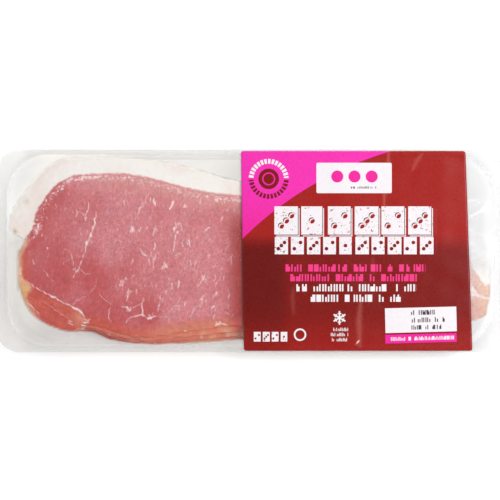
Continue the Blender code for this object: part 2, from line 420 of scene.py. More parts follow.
# Marbling of the top slice: width in mm, strength, and then x and y in mm of each corner of its route.
marbling = strokesOf((
    (0.7, 0.5, -106.5, 25.6, -105.8, 23.8, -106.6, 22.6), (0.7, 0.45, -100.6, 24.4, -100.4, 21.6),
    (0.8, 0.85, -95, 23.4, -94.5, 20.8, -94.8, 18.8), (0.6, 0.7, -93.4, 21.6, -91.4, 20.4, -90.2, 18.8),
    (0.65, 0.85, -88, 27, -88.2, 24.4, -88.8, 21.6, -90, 19, -90, 16.2, -90.2, 14.8),
    (0.85, 1, -83.8, 21.4, -84.8, 17.6, -84.6, 15, -86, 11.8, -87.2, 8, -89.8, 2.4, -90, -0.6),
    (1.1, 0.8, -85.2, 14, -86.2, 11.4), (1.3, 0.9, -87.6, 7, -89, 4.4, -89.8, 1.6),
    (0.6, 0.85, -90, -0.4, -92, -5.4, -93.4, -9.6, -95.8, -12.8, -96.4, -14.6),
    (0.7, 0.5, -80, 14.6, -77.8, 15.2), (1, 0.45, -73.4, 26.2, -71.6, 26),
    (0.8, 0.5, -68.6, 27.4, -68.6, 24.8), (0.6, 0.4, -99, 32.2, -98.2, 30),
    (0.8, 0.55, -111.6, 18.6, -110.2, 17.4), (0.6, 0.6, -92.8, 10.4, -92.4, 8.6),
    (0.7, 0.6, -89, 10.8, -88.8, 9.8), (0.9, 0.9, -110.8, 1.8, -110.6, 0.8),
    (0.6, 0.55, -102.8, 1.6, -100, 0.4, -97.8, -1), (0.55, 0.75, -97.8, -1.4, -96.8, -4.6, -96.4, -8.4),
    (0.6, 0.4, -101.8, -8.2, -101.6, -6.2, -98.6, -5), (0.8, 0.6, -119, -4, -118.2, -6.4, -117, -7.2),
    (0.6, 0.55, -113.6, -10.4, -111.8, -11.2, -109.6, -14.6, -106.8, -17),
    (0.9, 0.4, -93.2, -9.6, -91.4, -11.4, -89.2, -12.6, -87, -12.4),
    (0.6, 0.5, -84.2, -16.4, -84.6, -19.2, -86.8, -22.4, -89.2, -24.6),
    (0.6, 0.55, -89.2, -24.6, -92.4, -26, -95.4, -27.8, -97.2, -29.8),
    (0.6, 0.6, -81.4, -21.4, -81.8, -23.8, -79.6, -26.4, -76.2, -29),
    (0.65, 0.7, -76.2, -29, -76, -30.2, -76.8, -32.8, -77.4, -36, -76, -38.2),
    (0.9, 0.85, -70.8, -16, -70.6, -18), (0.7, 0.7, -68, -13.6, -67.6, -15.8),
    (0.7, 0.6, -63.4, -12, -64.2, -14.6), (0.9, 0.45, -57.8, -7, -57.8, -12.2),
    (0.8, 0.85, -66.4, -21, -66.6, -23.6, -67.4, -27.4), (0.7, 0.5, -53.4, -17, -53.6, -20),
    (0.6, 0.6, -47.4, -25, -48, -27.8), (0.9, 0.75, -42.4, -17.4, -42.6, -21),
    (0.75, 0.85, -59, -25.6, -58, -26.6, -59, -28.6, -58.8, -32.4, -58.2, -35),
    (0.8, 0.65, -59, -28.6, -62.4, -30.2, -65, -31.4),
    (0.9, 0.9, -70, -30.6, -67.8, -30.6, -66, -31.8, -65.6, -33.2),
    (0.75, 0.9, -67.8, -39.4, -66.8, -37.8, -64.6, -36, -61.8, -35.6, -58.6, -35, -55.8, -36.8),
    (0.9, 0.95, -56.4, -36.8, -53.8, -36.4, -51.8, -35.4),
    (0.6, 0.5, -51.8, -35.4, -48.6, -36, -45.4, -35.8), (1, 0.4, -53.4, -36, -53, -33),
    (0.6, 0.6, -67.8, 35.8, -68, 29.8, -68.4, 24.6),
    (0.7, 0.85, -56, 30.8, -57.2, 26.4, -59.8, 24, -61, 20.8, -63, 16.8),
    (1, 0.95, -64.4, 14.6, -64.6, 11.8, -64.4, 9.6),
    (0.7, 0.75, -51.4, 15, -51.8, 11.8, -53.2, 9.6, -52.8, 8), (0.7, 0.5, -48.2, 10.6, -48.8, 6.8),
    (0.8, 0.65, -40.8, 16.8, -40.8, 14.4), (0.9, 0.75, -38.4, 15, -37.2, 13, -37.6, 11.2),
    (0.75, 0.95, -40, 10.4, -41, 5.8, -41.6, 1.4, -42.8, -1.4), (0.9, 0.85, -32.8, 7, -33.2, 4, -32.4, 2.2),
    (0.7, 0.5, -35, 2.6, -36.4, -1), (0.8, 0.6, -28.8, 8, -28.4, 6.8), (1, 0.5, -26.4, 4.8, -26, 2.6),
    (0.8, 0.6, -22.4, 16.8, -21.8, 14.6), (0.9, 0.7, -60.2, 1.4, -58.2, -1.4, -56, -3.2),
    (0.8, 0.9, -46.2, -5.4, -46, -7.8, -44.8, -10), (0.8, 0.65, -32.4, -4.6, -32.4, -9.2),
    (0.7, 0.55, -23.2, -0.6, -22.8, -4), (0.7, 0.7, -11, -4, -12.6, -6.4),
    (0.9, 0.8, -25, -12.4, -25.2, -14.4, -26.4, -16.8, -28.4, -19.2), (0.8, 0.75, -13.4, -12.2, -14.6, -15),
    (1, 0.9, -18, -22.4, -19, -24.6), (1, 0.6, -23.6, -26.6, -24.6, -28.2),
    (0.6, 0.55, -11.6, -19.6, -11.6, -22.8), (0.9, 0.45, -37.4, -27.8, -34.6, -28.6),
    (0.7, 0.6, -53.4, -2, -52.8, -6, -52.9, -10.6), (0.6, 0.5, -38.4, -6.6, -36.4, -8.8, -34.4, -10.4),
    (0.7, 0.6, -29.6, -3.8, -29.8, -6.8, -30.4, -9.6), (0.7, 0.6, -13, 2, -14.2, -2),
    (0.7, 0.6, -9.8, -1.6, -11.8, -5.6), (0.7, 0.5, -62, -20, -62.2, -24.6),
    (0.7, 0.5, -55, -24, -55.4, -27.6), (0.7, 0.6, -44, -14, -44.4, -18),
    (0.7, 0.6, -22.4, -12.6, -24.8, -17.6), (0.7, 0.5, -34.6, -31.2, -39.8, -29.8, -42.4, -31.6),
    (1.4, 0.45, -13.6, -33.6, -11.4, -34.6), (0.65, 0.75, -32.2, -38.2, -32, -34.8, -30, -31, -28.2, -29.8),
    (0.5, 0.45, -112.8, -27.8, -108.2, -30.6, -104.6, -33.4, -100.8, -36, -97.8, -37.6),
    (0.8, 0.9, -122.6, -26.4, -120.6, -29, -117.4, -32.2), (1, 0.9, -99, -39.2, -98.2, -39.8),
    (0.9, 1, -19, -40.8, -17, -39.6, -16.2, -38.4), (0.7, 0.95, -15.8, -39.8, -12.2, -40.2),
    (1.1, 1, -36, -43.6, -34.6, -44.4), (0.8, 1, -90.2, -37.6, -86.8, -37.6),
    (0.9, 1, -91.6, -39.1, -88.2, -39.1), (0.9, 1, -92.4, -40.6, -89.2, -40.9),
    (1, 1, -94.2, -42.4, -89.8, -42.6), (0.9, 0.9, -93.4, -43.5, -88.4, -43.9),
    (0.9, 0.7, -99.4, -38, -97.2, -38.6), (0.8, 0.6, -98.6, -39.8, -96.4, -40.4),
    (1.1, 1, -109.6, -24.1, -107.2, -25.3, -104.8, -26.6), (1.1, 0.9, -101.2, -28.6, -98.8, -29.8),
    (1.5, 0.95, -97.2, -30.5, -94.6, -31.9, -92.4, -33.2, -90.8, -36),
    (0.9, 0.6, -116.6, -32.8, -115.2, -34.6), (3.6, 1, -127.2, -8, -125.6, -12),
    (6.4, 1, 114, -20.4, 119, -21.2, 122.4, -22.8),
    (1.9, 1, 120.6, -18.2, 122.4, -21.6, 124.4, -24.2, 127.6, -25.4, 130.2, -26.2),
    (3.2, 1, 120.9, -20.4, 121.7, -25.6), (1.9, 1, 120, -22.8, 126, -25, 132, -26.6),
))

# Sprays of fat where strands meet: x, y and size in mm, then strength.
sprays = (
    (-46.4, -7.9, 3.4, 1), (-58.9, -1.6, 2.6, 0.75), (-39.3, -1.9, 2.8, 0.7), (-86.7, 5.2, 2.2, 0.6),
    (-39.8, 13.9, 2.8, 0.7), (-33.8, 4.6, 2.4, 0.8), (-51.8, 11.4, 2.6, 0.65), (-64.3, 11.9, 2.6, 0.85),
    (-69.9, -17.3, 3.2, 0.8), (-66.5, -22.6, 2.6, 0.75), (-54.7, -36.3, 2.6, 0.9), (-66, -32, 2.4, 0.7),
    (-39.4, -31.4, 3.4, 0.55), (-71.6, 5.7, 2.6, 0.45), (-72.9, 26.2, 1.6, 0.55), (-18.5, -23.6, 2.6, 0.7),
    (-12.4, -30.3, 2.2, 0.6), (-25.4, -15, 2.8, 0.7), (-24, 8, 3, 0.5), (-12.5, 5.7, 3.2, 0.45),
    (-90.2, 18.6, 2, 0.7), (-95, -10, 2.2, 0.6), (-17, -39.6, 2, 1), (-20.4, -43, 2.2, 0.7),
    (-34.6, -9, 2.2, 0.5), (-44.2, -21.2, 2.6, 0.5),
)


def halfRims(number):
    # The slice's outline from its left tip to its right tip, by the fat side and by the lean side.
    points = nodePoints(f"rasher_{number}")
    low, high = points[:, 2].min() + 0.1 * mm, points[:, 2].max() - 0.1 * mm
    rim = np.unique(np.round(points[(points[:, 2] > low) & (points[:, 2] < high), :2], 6), axis=0)
    rim = rim[np.argsort(np.arctan2(rim[:, 1], rim[:, 0]))]
    rim = np.roll(rim, -int(np.argmin(rim[:, 0])), axis=0)
    curve = catmullRom(np.roll(rim, 1, 0), rim, np.roll(rim, -1, 0), np.roll(rim, -2, 0), 8)
    tip = int(np.argmax(curve[:, 0]))
    return np.vstack([curve[tip:], curve[:1]])[::-1], curve[:tip + 1]


def nearStep(x, y, number, share=1):
    # How far a slice's near rim stands out, in metres: the lower slices more, and the topmost are drawn in,
    # so that their cut edges show side by side. The tray's wall stops them; it curves in at the lowest slice.
    look, spot = rasherLook, x / mm
    level = (number - 1) / (look.count - 1)
    left, right = np.exp(-((spot + 79) / 12) ** 2), np.exp(-((spot + 10) / 14) ** 2)
    out = look.stepOut * (0.8 + 2.4 * left - 0.5 * right) * (1 - level)
    drawn = look.drawIn * (left + 0.45 * right) * level ** 2
    step = (out - drawn) * smooth(spot, -101, -88) * smooth(spot, 30, 10) * share
    room = y + (look.lowWall if number == 1 else look.wall)
    return np.minimum(step, np.maximum(room, 0))


def rimStations(path, look, counts, middleX):
    # Points of one half outline: even steps round each end, and the given x between the ends.
    reach = reachOf(path)
    first = int(np.argmax(path[:, 0] > look.fanLeft))
    last = len(path) - 1 - int(np.argmax(path[::-1, 0] < look.fanRight))
    across = np.interp(middleX, path[first - 1:last + 2, 0], reach[first - 1:last + 2])
    start = np.linspace(0, across[0], counts[0], endpoint=False)
    end = np.linspace(across[-1], reach[-1], counts[1] + 1)[1:]
    return spotsAlong(np.concatenate([start, across, end]), path)


def sprayStrokes(seed=31, perSpray=8):
    # Each spray is a bundle of short strokes scattered round its centre, mostly upright and of uneven length.
    draw = np.random.default_rng(seed)
    strokes = []
    for x, y, size, strength in sprays:
        for _ in range(perSpray):
            turn = math.radians(draw.normal(84, 30))
            along = np.array([math.cos(turn), math.sin(turn)]) * size * draw.uniform(0.15, 0.55)
            middle = np.array([x, y]) + draw.normal(0, 0.24 * size, 2)
            bend = draw.normal(0, 0.25, 2)
            route = [middle - along, middle + bend, middle + along]
            strokes.append((route, draw.uniform(0.5, 0.8), strength * draw.uniform(0.3, 0.95)))
    return strokes


def fineStrokes(count, seed=11):
    # Short strands of fat over the eye, upright on the left and leaning over towards the right.
    draw = np.random.default_rng(seed)
    strokes = []
    for _ in range(count):
        x, y = draw.uniform(-118, 118), draw.uniform(-38, 32)
        lean = math.radians(90 - 18 * smooth(x, -80, -10) + draw.normal(0, 11))
        length = draw.uniform(0.8, 3.4) * (1.4 if x > -60 else 1)
        bend = draw.normal(0, 0.25)
        along = length * np.array([math.cos(lean), math.sin(lean)])
        across = bend * np.array([-math.sin(lean), math.cos(lean)])
        start = np.array([x, y])
        clump = float(waves(start[:1], start[1:], 10, 33)[0])
        strength = (0.06 + 0.5 * smooth(x, -88, -50)) * max(0.2, 0.9 + 0.6 * clump) * draw.uniform(0.5, 1.4)
        route = [start, start + along / 2 + across, start + along]
        strokes.append((route, draw.uniform(0.5, 0.85), strength))
    return strokes


def silverDashes(edge, look, seed=21):
    # Bright dashes of silvery skin that follow the fat's inner edge a little way into the lean, and a cluster
    # of crystals at its notch.
    draw = np.random.default_rng(seed)
    strokes = []
    for _ in range(look.dashes):
        place = draw.uniform(24, 160)
        depth = draw.normal(1.9, 0.65) + (0.9 if place > 125 else 0)
        length = draw.uniform(0.4, 2.4)
        route = spotsAlong(np.array([place, place + length / 2, place + length]), edge)
        run = route[2] - route[0]
        inward = np.array([run[1], -run[0]]) / np.linalg.norm(run)
        wander = draw.normal(0, 0.3, 3)[:, None]
        route = route + inward * (depth + wander)
        weight = 1 if 42 < place < 95 or place > 140 else 0.5 if place > 42 else 0.3
        strokes.append((route, draw.uniform(0.6, 1), weight * draw.uniform(0.5, 1.1)))
    for _ in range(look.crystals):
        start = np.array([-116.4, 12.6]) + draw.normal(0, 1, 2) * np.array([1.5, 2.3])
        strokes.append(([start, start + draw.normal(0, 0.7, 2)], 0.6, draw.uniform(0.5, 1)))
    return strokes


def rimSpots(seed, lean, count=16):
    # A few pale spots of fat along the near rim of a lower slice, and the seam's end.
    draw = np.random.default_rng(seed)
    strokes = [(((-90.4, -37.6), (-92.2, -43.6)), 2, 1)]
    for _ in range(count):
        spot = lean[draw.integers(len(lean) // 5, 3 * len(lean) // 4)] / mm
        width = draw.uniform(0.6, 1.4)
        route = [spot + draw.normal(0, 0.5, 2), spot + draw.normal(0, 1, 2)]
        strokes.append((route, width, draw.uniform(0.2, 0.7)))
    return strokes


def marblingStrokes(edge, look):
    # All that is drawn on the top slice: veins, sprays, fine strands, silvery dashes and crystals.
    veins = [(smoothRoute(route, 3), look.veinWidth * width, strength) for route, width, strength in marbling]
    return veins + sprayStrokes() + fineStrokes(look.strands) + silverDashes(edge, look)


def rasherTints(points, fat, lean, seed, isTop, look):
    # Point values that the meat's colours follow, from distances in mm. Each zone is a product of smooth steps
    # that bound it on its sides.
    spots = points[:, :2] / mm
    x, y = spots.T
    size = np.ptp(np.concatenate([fat[:, 0], lean[:, 0]])) / look.fullLength
    edge, seam = smoothRoute(fatEdge) * size, smoothRoute(seamRoute)
    distance, _, side = nearPath(spots, edge)
    inLean = -side * distance - 0.12 * waves(x, y, 5, seed)
    extra = marblingStrokes(edge, look) if isTop else rimSpots(seed, lean)
    vein = strokeField(spots, [(seam, 0.5, 0.9)] + extra, 0.22)
    rimGap = nearPath(spots, np.vstack([fat, lean[::-1]])[::3] / mm)[0]
    # The thin muscle beyond the seam, redder lean at the left and low down, and a painted shadow of the label
    # that darkens the lean beside and under it
    toSeam, _, seamSide = nearPath(spots, np.vstack([seam, [(-86, -50)]]))
    cap = smooth(-seamSide * toSeam, -0.2, 0.8) * smooth(x, -86, -90)
    low = 1.05 * smooth(y, 4, -22) * smooth(x, -30, -82)
    blush = np.clip(np.maximum(smooth(x + 0.3 * y, -66, -118), low) + 0.25 * waves(x, y, 22, 5), 0, 1)
    shade = smooth(x, -18, -5) * smooth(y, 31, 10) * smooth(x, 115, 100) * (1 - 0.62 * smooth(y, -34, -42))
    # Amber lean along the near rim, in the thin muscle and at the right end
    nearRim = smooth(rimGap, 9, 1.5) * smooth(y, 6, -10)
    amber = np.maximum(np.maximum(nearRim, 0.95 * cap), smooth(x, 112, 120))
    # Paler rims: at the left, in the corner beyond the thin muscle's rounded tip, and along the near side
    leftRim = smooth(rimGap, 3.8, 0.5) * smooth(x, -112, -122) * (inLean > 0)
    above = y + 27.2
    tip = np.hypot(x + 114, above * np.where(above > 0, 1.3, 0.55)) + 0.5 * waves(x, y, 3.2, 17)
    corner = smooth(tip, 7.6, 9.8) * smooth(x, -118, -121.5) * cap
    corner = np.maximum(corner, 0.4 * cap * np.exp(-np.hypot((x + 92) / 5, (y + 36.5) / 4.5) ** 2))
    nearPale = smooth(rimGap, 8, 0.8) * smooth(x, -72, -40) * smooth(y, -24, -34) * smooth(x, -6, -14)
    yellow = np.maximum(np.clip(corner * smooth(y, -12, -23), 0.4 * leftRim, 1), 0.5 * nearPale)
    paleRim = np.maximum(np.clip(np.maximum(0.88 * leftRim, 0.95 * corner), 0, 1), 0.28 * nearPale)
    # The slices below show only a frayed pale line along the near rim: pale fat, and partly a painted
    # highlight on their cut edges
    if not isTop:
        amber = 0.62 * smooth(y, -20, -30)
        lines = (0.75 + 0.4 * waves(x, y, 9, 50 + seed)) * smooth(rimGap, 1.9, 0.3) * smooth(y, -24, -34)
        frayed = 0.36 + 0.36 * smooth(x, -42, -20)
        paleRim = np.clip(np.maximum(paleRim, frayed * lines * (inLean > 0)), 0, 1)
    # Two brown smudges on the fat
    smudge = np.exp(-((x + 128.6) / 1.2) ** 2 - ((y - 10.4) / 1.4) ** 2)
    smudge += 0.35 * np.exp(-((x + 122.2) / 1.6) ** 2 - ((y - 27) / 1.6) ** 2)
    return {"inLean": inLean, "vein": vein, "blush": blush, "shade": shade, "amber": amber, "rimGap": rimGap,
            "wash": smooth(x, 108, 118), "paleRim": paleRim, "smudge": smudge,
            "under": np.full(len(x), float(not isTop)), "cap": cap, "yellow": yellow}


def buildRasher(number, finish, look):
    # A slice: at each station along it a closed section runs over the top from one rim to the other, round
    # the edge as half an ellipse, and back below. Sections bend at a spine, so that they fan out at the ends.
    isTop = number == look.count
    rows, under, counts = (178, 8, (112, 62)) if isTop else (14, 4, (60, 40))
    fat, lean = halfRims(number)
    middleX = np.linspace(look.fanLeft, look.fanRight, 110)
    if isTop:
        shown = np.arange(look.fanLeft, -0.001, 0.52 * mm)
        middleX = np.concatenate([shown, np.linspace(-0.001, look.fanRight, 44)])
    sides = [rimStations(half, look, counts, middleX) for half in (fat, lean)]
    centre = (sides[0] + sides[1]) / 2
    first, last = counts[0], len(centre) - counts[1] - 1
    lead = np.linspace(1, 0, first, endpoint=False)[:, None]
    tail = np.linspace(0, 1, counts[1] + 1)[1:, None]
    centre[:first] = centre[first] + lead * np.array([-look.spineOut, 0.4 * look.spineOut])
    centre[last + 1:] = centre[last] + tail * np.array([look.spineOut, -0.3 * look.spineOut])

    turn = np.radians([60, 30, 0, -30, -60])
    share = np.concatenate([np.linspace(1, -1, rows), -np.ones(5), np.linspace(-1, 1, under), np.ones(5)])
    angle = np.concatenate([np.full(rows, math.pi / 2), turn, np.full(under, -math.pi / 2), turn[::-1]])
    arms = np.where((share > 0)[None, :, None], (sides[0] - centre)[:, None], (sides[1] - centre)[:, None])
    length = np.linalg.norm(arms, axis=2)
    reach = np.abs(share) * (1 - look.edgeRound / length) + look.edgeRound * np.cos(angle) / length
    flat = centre[:, None] + arms * reach[..., None]
    edge = np.abs(share)[None] ** 12
    ends = np.sin(np.pi * np.clip(np.arange(len(centre)) / (len(centre) - 1), 0, 1))[:, None] ** 0.5
    shift = look.wobble * waves(flat[..., 0], flat[..., 1], 7 * mm, 40 + number) * edge * ends
    flat += arms / length[..., None] * np.minimum(shift, 0.25 * mm)[..., None]
    x, y = flat[..., 0], flat[..., 1]
    y = y - nearStep(x, y, number, (share < 0)[None] * np.abs(share)[None] ** 6)

    heights = nodePoints(f"rasher_{number}")[:, 2]
    half = (heights.max() - heights.min()) / 2 + look.squeeze
    level = (heights.min() + heights.max()) / 2 + look.sag * waves(x, y, 45 * mm, 7)
    z = level + half * np.sin(angle)[None] * (1 - 0.07 * edge)
    if isTop:
        z += look.grain * waves(x, y, 3 * mm, 9) * (np.sin(angle)[None] > 0.5)
    points = np.stack([x, y, z], -1).reshape(-1, 3)
    tints = rasherTints(points, fat, lean, number, isTop, look)
    if isTop:
        relief = (0.04 * tints["vein"] - 0.10 * smooth(tints["inLean"], -0.4, 0.8)) * mm
        points[:, 2] += relief * np.tile(np.sin(angle) > 0.5, len(centre))
    quads = gridFaces(len(centre), len(share), closedColumns=True)
    piece = addPiece(f"slice{number}", points, quads, finish, tints)
    weldPiece(piece)
    settle(piece, "rasher_meat", f"rasher_{number}")


meatLook = Look(
    gain=0.72,
    lean=(199, 110, 113),
    rose=(209, 131, 146),
    coral=(203, 92, 80),
    # painted shadow of the label on the lean
    deepLean=(184, 58, 62),
    darkLean=(158, 21, 21),
    amberLean=(198, 73, 43),
    strand=(228, 178, 180),
    veinFat=(246, 226, 226),
    backFat=(243, 238, 233),
    fatBlush=(236, 217, 208),
    # rim of the fat painted paler, against the shade of its rounded edge
    fatRim=(255, 250, 240),
    yellowFat=(221, 166, 106),
    tanFat=(228, 178, 150),
    paleLean=(232, 186, 168),
    # lower slices painted a brighter red, against the shade on their edges
    underLean=(231, 72, 48),
    rosyWash=(234, 224, 220),
    paleWash=(235, 232, 206),
    fatWash=(232, 232, 230),
    silver=(250, 240, 240),
    brown=(196, 150, 120),
)


def makeMeat(look):
    # Tints laid over each other: the lean with its zones, among them a painted shadow of the label and the
    # lower slices painted brighter against their shade, fibres and strands, a haze of silvery skin, and then
    # the fat, its rim painted paler against the shade of its rounded edge, wherever the depth past the fat's
    # edge, made ragged by noise, is low.
    finish, place, depth, vein, rim, blush, amber, under, *others = newFinish(
        "rasherMeat", "inLean", "vein", "rimGap", "blush", "amber", "under", "cap", "shade", "paleRim",
        "yellow", "smudge", "wash")
    cap, labelShadow, paleRim, yellow, smudge, wash = others
    hue = tones(look)
    shade, height = grain(place, 420, 1.15)
    # Lean: rose and coral patches at two sizes, then redder, darker and more orange zones, and the lower
    # slices painted a brighter red against the shade on their edges
    warm = ramp(noise(place, 90, 3, 0.6), 0.34, 0.66)
    speck = ramp(noise(place, 1500, 3, 0.8, 0.3), 0.42, 0.58)
    coral = ramp(noise(stretched(place, turn=1), 940, 3, 0.8), 0.49, 0.60)
    lean = mix(warm * 0.42, hue.lean, hue.rose)
    lean = mix(speck * 0.78, lean, hue.rose)
    lean = mix(coral * 0.8, lean, hue.coral)
    lean = mix(blush * 0.86, lean, hue.deepLean)
    lean = mix(amber * 0.84, lean, hue.amberLean)
    # Painted light: the lower slices a brighter red, against the shade that falls on their edges
    lean = mix(under * 0.6, lean, hue.underLean)
    # The thin muscle's own fibres run along its seam
    alongSeam = stretched(stretched(place, turn=math.radians(31)), (0.2, 1, 1))
    slanted = noise(alongSeam, 520, 3, 0.7, 0.8)
    lean = mix(ramp(slanted, 0.52, 0.74, 0, 0.1) * cap, lean, hue.paleLean)
    lean = mix(ramp(slanted, 0.56, 0.34, 0, 0.75) * cap, lean, hue.deepLean)
    # Strands along the muscle's fibres
    fibres = noise(stretched(stretched(place, turn=math.radians(10)), (1, 0.3, 1)), 1150, 3, 0.6, 0.6)
    plain = calc("MAXIMUM", calc("MAXIMUM", amber, labelShadow), blush * 0.8)
    lean = mix(ramp(fibres, 0.52, 0.70) * ramp(plain, 0, 1, 0.34, 0.10), lean, hue.strand)
    lean = mix(ramp(vein, 0.09, 0.55, 0, 0.75), lean, hue.strand)
    lean = mix(ramp(vein, 0.40, 1), lean, hue.veinFat)
    # Painted shadow of the label: the lean beside and under it is darkened
    lean = mix(labelShadow * 0.98, lean, hue.darkLean)
    x = axes(place)[0]
    lean = mix(ramp(depth, 3, 14, 0.21, 0) * ramp(x, -0.098, -0.080), lean, hue.paleLean)
    # Silvery skin in a broken haze just inside the fat
    band = ramp(depth, 0.4, 1.6) * ramp(depth, 2.6, 5.5, 1, 0)
    flecks = ramp(noise(place, 800, 3, 0.7, 0.8), 0.50, 0.66)
    lean = mix(band * flecks * 0.5, lean, hue.silver)
    lean = mix(paleRim, lean, mix(yellow, hue.tanFat, hue.yellowFat))
    # Fat, its rim painted paler against the shade of its rounded edge
    cream = mix(ramp(noise(place, 55, 3), 0.42, 0.7, 0, 0.5), hue.backFat, hue.fatBlush)
    cream = mix(blush ** 2.5 * 0.55, cream, hue.fatBlush)
    cream = mix(ramp(rim, 1.6, 0.1, 0, 0.85), cream, hue.fatRim)
    cream = mix(smudge, cream, hue.brown)
    ragged = noise(place, 420, 2, 0.6) * 1.8 + (depth - 0.9)
    isFat = ramp(height * 0.9 + ragged, 1.15, -0.35)
    both = mix(isFat, lean, cream)
    pale = mix(ramp(x, 0.121, 0.129), hue.rosyWash, hue.paleWash)
    pale = mix(calc("MAXIMUM", isFat, ramp(vein, 0.3, 0.9)), pale, hue.fatWash)
    both = mix(wash * 0.45, both, pale)
    feed(finish, BaseColor=mix(isFat * 0.85, shaded(both, shade), both), SpecularIORLevel=0.4,
         Roughness=ramp(height, 0.3, 0.7, 0.34, 0.56), Normal=bump(fibres * 0.6 + height, 0.12 * mm, 0.5))
    return finish


meat = makeMeat(meatLook)
for number in range(1, rasherLook.count + 1):
    buildRasher(number, meat, rasherLook)
print("rashers made:", rasherLook.count)


# Tray

trayLook = Look(
    wall=0.35 * mm,
    corner=13 * mm,
    cavityCorner=22 * mm,
    cavityInset=(6 * mm, 2.5 * mm),  # flange width at the ends and along the sides
    draft=math.radians(2.5),
    rimRound=0.9 * mm,
    footRound=2.4 * mm,
    bead=0.10 * mm,  # raised line where the film is sealed
    alphaFloor=0.10,
    alphaSteep=0.2,
    alphaFlange=0.28,
    white=(232, 231, 229),
    grey=(192, 190, 186),
    # painted light and shade on the flange and walls: lighter at the left end, darker low on the left, a
    # little darker at the right end
    leftEnd=(222, 221, 218),
    leftLow=(204, 200, 196),
    rightEnd=(188, 188, 189),
)


def roundedLoops(halfX, halfY, radius, sideSteps, cornerSteps):
    # Rounded rectangles, one for each entry of the size arrays: four quarter circles with straight sides
    # between them.
    corner = np.linspace(0, math.pi / 2, cornerSteps)
    loops = []
    for quarter, (sx, sy) in enumerate(((1, 1), (-1, 1), (-1, -1), (1, -1))):
        angle = corner + quarter * math.pi / 2
        x = sx * (halfX - radius)[:, None] + radius[:, None] * np.cos(angle)
        y = sy * (halfY - radius)[:, None] + radius[:, None] * np.sin(angle)
        loops.append(np.stack([x, y], -1))
    parts = []
    for quarter, here in enumerate(loops):
        t = np.linspace(0, 1, sideSteps[quarter % 2] + 1)[1:-1][None, :, None]
        parts += [here, here[:, -1:] * (1 - t) + loops[(quarter + 1) % 4][:, :1] * t]
    return np.concatenate(parts, axis=1)


def trayProfile(look, floor):
    # Inset from the cavity's edge and height over the flange, from the flange's outer edge inwards: flange
    # with its bead, rounded lip, drafted wall, rounded foot and flat floor. On the flange the inset runs from
    # -1 to 0, as a share of its width.
    flange = np.linspace(0, 1, 9)
    turn = math.pi / 2 - look.draft
    lip = np.linspace(0, turn, 7)[1:]
    lipIn, lipDown = look.rimRound * math.sin(turn), -look.rimRound * (1 - math.cos(turn))
    footTop = floor + look.footRound * (1 - math.cos(turn))
    run = lipIn + (lipDown - footTop) * math.tan(look.draft)
    wall = np.linspace(0, 1, 8)[1:]
    foot = np.linspace(turn, 0, 9)[1:]
    inside = run + look.footRound * math.sin(turn) + np.array([0.15, 0.5, 1, 2, 4, 8, 12]) * mm
    insets = [flange - 1, look.rimRound * np.sin(lip), lipIn + (run - lipIn) * wall,
              run + look.footRound * (math.sin(turn) - np.sin(foot)), inside]
    heights = [look.bead * np.exp(-((flange - 0.45) / 0.16) ** 2), -look.rimRound * (1 - np.cos(lip)),
               lipDown + (footTop - lipDown) * wall, floor + look.footRound * (1 - np.cos(foot)),
               np.full(len(inside), floor)]
    return np.concatenate(insets), np.concatenate(heights)


def buildTray(finish, look):
    # The profile carried round rounded rectangles, from the flange's outer edge to the middle of the floor.
    low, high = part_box("tray")
    half = ((high - low) / 2)[:2]
    insets, heights = trayProfile(look, low.z + look.wall - high.z)
    out, inner = np.maximum(-insets, 0), np.maximum(insets, 0)
    ends, sides = look.cavityInset
    halfX = half[0] - ends * (1 - out) - inner
    halfY = half[1] - sides * (1 - out) - inner
    radius = look.cavityCorner + (look.corner - look.cavityCorner) * out - inner
    loops = roundedLoops(halfX, halfY, radius, (72, 24), 22)
    z = np.broadcast_to((high.z + heights)[:, None], loops.shape[:2])
    points = np.concatenate([loops, z[..., None]], -1)
    rows, columns = z.shape
    rise = np.abs(np.gradient(heights))
    slope = rise / (rise + np.abs(np.gradient(halfX)) + 1e-9)
    values = {"steep": slope, "flange": (insets < 0.75 * mm).astype(float)}
    values = {key: np.repeat(value, columns) for key, value in values.items()}
    quads = gridFaces(rows, columns, closedColumns=True)
    lastRow = (rows - 1) * columns + np.arange(columns)
    piece = addPiece("trayShell", points.reshape(-1, 3), quads, finish, values, lastRow)
    thicken(piece, look.wall)
    settle(piece, "tray_plastic", "tray")


def makePlastic(look):
    # Clear plastic that is seen through less where it is steep and on the flange, white on its floor and
    # greyer on its walls; on the flange and walls its tint is painted light and shade, lighter at the left
    # end, darker low on the left than at the far side, and a little darker at the right end.
    finish, place, steep, flange = newFinish("clearTray", "steep", "flange")
    hue = tones(look)
    shade, height = grain(place, 60, 0.06)
    x, y, _ = axes(place)
    # Painted light and shade at the two ends of the flange and walls
    leftTint = mix(ramp(y, -36 * mm, 30 * mm), hue.leftLow, hue.leftEnd)
    rimTint = mix(ramp(x, -0.119, -0.127), hue.grey, leftTint)
    rimTint = mix(ramp(x, 0.116, 0.124), rimTint, hue.rightEnd)
    tint = mix(calc("MAXIMUM", flange, ramp(steep, 0.02, 0.3)), hue.white, rimTint)
    body = ramp(steep, 0.1, 0.95, look.alphaFloor, look.alphaSteep)
    feed(finish, BaseColor=shaded(tint, shade), Alpha=calc("MAXIMUM", body, flange * look.alphaFlange),
         Roughness=ramp(height, 0.3, 0.7, 0.07, 0.14), Normal=bump(noise(place, 45), 0.25 * mm, 0.25),
         IOR=1.58, SpecularIORLevel=0.35, CoatWeight=0.2, CoatRoughness=0.08)
    return finish


buildTray(makePlastic(trayLook), trayLook)
print("tray made")


# Film and its relief, which the label shares

